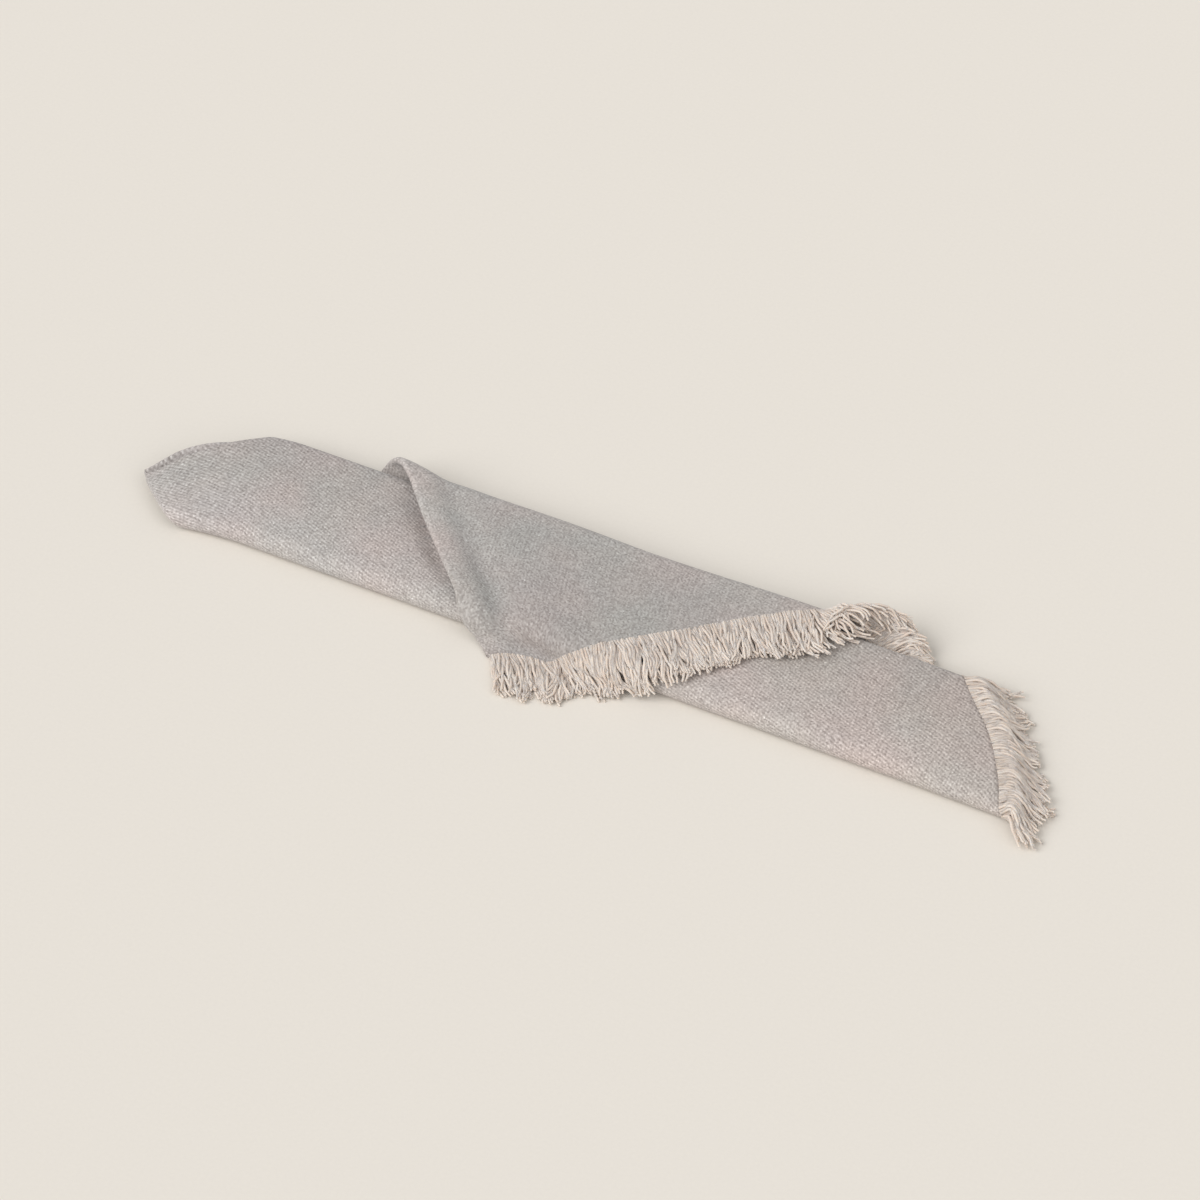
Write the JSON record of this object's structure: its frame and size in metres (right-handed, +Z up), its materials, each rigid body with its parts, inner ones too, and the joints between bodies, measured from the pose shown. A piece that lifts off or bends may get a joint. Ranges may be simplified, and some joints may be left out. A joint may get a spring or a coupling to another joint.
{
  "type": "fringed cloth napkin, folded and rolled",
  "caption": "Grey-beige woven cotton napkin with cream fringed edges, folded in quarters, rolled on the bias and pressed flat, its loose corner lying over the roll.",
  "frame": {"origin": "middle of the bounding box, on the surface that the napkin lies on", "axes": "+X along the roll towards its fringed end, +Z up, -Y towards the side where the loose corner hangs down"},
  "size_m": [0.3202, 0.0835, 0.0134],
  "materials": {
    "cloth": "matte, heathered grey-beige twill",
    "fringe": "matte cream cotton yarn"
  },
  "bodies": {
    "root": {"rolled_cloth": "cloth", "flap_fringe": "fringe", "far_fringe": "fringe", "under_fringe": "fringe", "end_fringe": "fringe", "inner_fringe": "fringe"}
  },
  "joints": []
}
